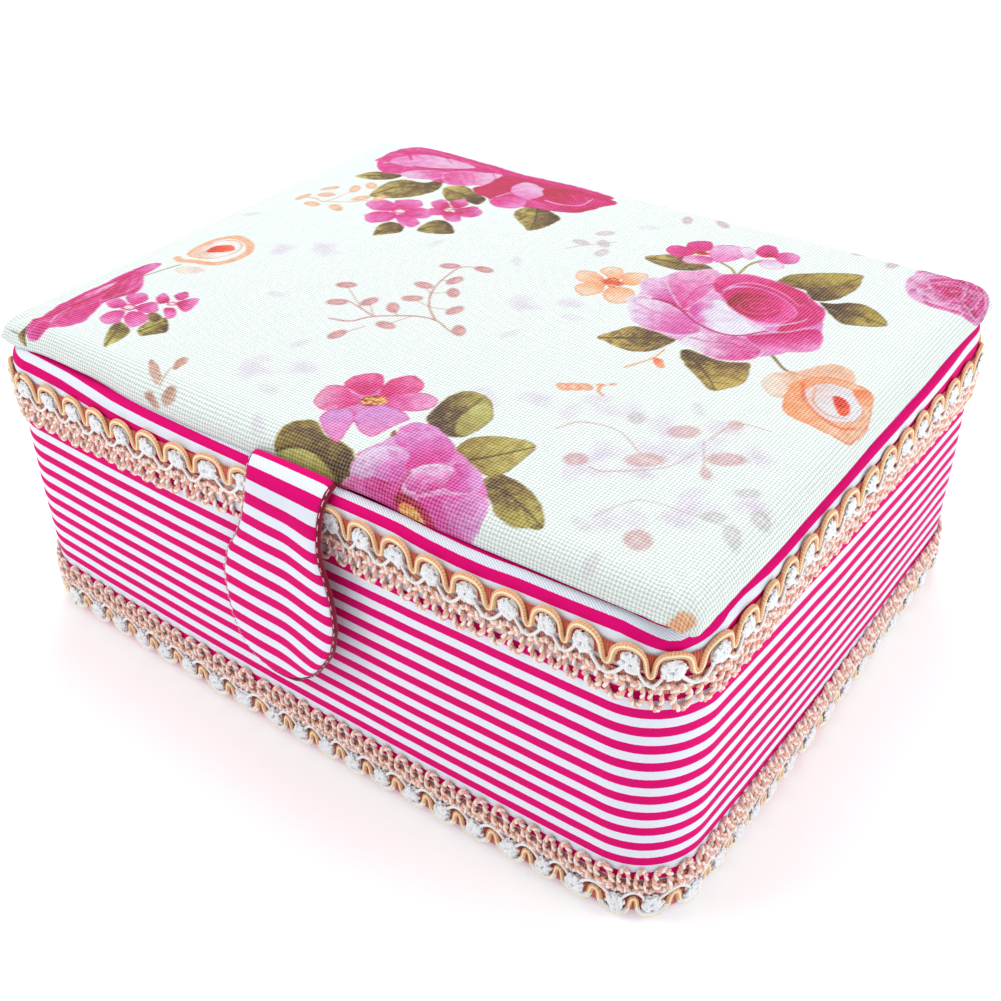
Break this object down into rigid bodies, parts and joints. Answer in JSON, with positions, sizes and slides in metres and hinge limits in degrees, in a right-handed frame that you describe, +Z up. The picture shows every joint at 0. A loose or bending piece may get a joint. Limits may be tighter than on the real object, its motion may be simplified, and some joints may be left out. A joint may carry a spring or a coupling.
{
  "type": "sewing box",
  "caption": "Fabric-covered sewing box with a padded hinged lid, closing flap, braid trim, folding stays and a sliding tray inside.",
  "frame": {"origin": "on the resting face under the box, at the middle of its footprint", "axes": "+Z up, +X to the right of the flap along the longer side, the flap and the opening edge of the lid face -Y, the hinge is at +Y"},
  "size_m": [0.2662, 0.2217, 0.1128],
  "materials": {
    "striped_twill": "magenta and white striped cotton twill",
    "floral_linen": "pale basket-weave linen with a printed rose pattern",
    "gimp_braid": "looped gimp braid in tan, cream, white and pale pink cotton",
    "plain_lining": "plain pale pink lining cotton",
    "pin_cushion_fabric": "plain magenta cotton over filling",
    "hinge_cloth": "plain magenta cotton tape",
    "wadding": "white polyester wadding",
    "board": "grey-brown bookbinding board",
    "bottom_cloth": "plain dark pink cotton on card",
    "tray_board": "white moulded tray",
    "tray_felt": "pink felt",
    "pull_ribbon": "magenta grosgrain ribbon",
    "snap_metal": "nickel finish pressed steel"
  },
  "bodies": {
    "body": {"bottom_cover": "bottom_cloth", "outer_wrap": "striped_twill", "wall_wadding": "wadding", "wall_hoop": "board", "base_board": "board", "wall_lining": "plain_lining", "floor_pad": "plain_lining", "upper_braid": "gimp_braid", "lower_braid": "gimp_braid", "tray_rail_front": "tray_board", "tray_rail_back": "tray_board", "snap_socket": "snap_metal", "hinge_cloth_body": "hinge_cloth", "stay_anchors": "snap_metal"},
    "lid": {"lid_board": "board", "lid_pad": "wadding", "lid_cover": "floral_linen", "lid_lining_panel": "plain_lining", "lid_pocket": "plain_lining", "pin_cushion": "pin_cushion_fabric", "hinge_cloth_lid": "hinge_cloth", "flap_anchor": "striped_twill", "stay_tabs": "plain_lining"},
    "flap": {"flap_front": "striped_twill", "flap_stiffener": "board", "flap_back": "striped_twill", "snap_stud": "snap_metal"},
    "tray": {"tray_body": "tray_board", "tray_lining": "tray_felt", "tray_divider_long": "tray_board", "tray_dividers_cross": "tray_board", "tray_pull_ribbons": "pull_ribbon"},
    "stay_left": {"stay_left": "plain_lining"},
    "stay_right": {"stay_right": "plain_lining"}
  },
  "joints": [
    {"name": "lid_hinge", "type": "hinge", "parent": "body", "child": "lid", "pos_m": [0, 0.1018, 0.1056], "axis": [-1, 0, 0], "range_deg": [0, 105]},
    {"name": "flap_hinge", "type": "hinge", "parent": "lid", "child": "flap", "pos_m": [0, -0.1025, 0.1057], "axis": [-1, 0, 0], "range_deg": [0, 95]},
    {"name": "tray_slide", "type": "slide", "parent": "body", "child": "tray", "axis": [1, 0, 0], "range_m": [0, 0.078]},
    {"name": "stay_left_hinge", "type": "hinge", "parent": "body", "child": "stay_left", "pos_m": [-0.11965, 0.034, 0.0965], "axis": [-1, 0, 0], "range_deg": [0, 135.4]},
    {"name": "stay_right_hinge", "type": "hinge", "parent": "body", "child": "stay_right", "pos_m": [0.11965, 0.034, 0.0965], "axis": [-1, 0, 0], "range_deg": [0, 135.4]}
  ],
  "couplings": [
    {"joint": "stay_left_hinge", "follows": "lid_hinge", "ratio": 1.2886},
    {"joint": "stay_right_hinge", "follows": "lid_hinge", "ratio": 1.2886}
  ]
}
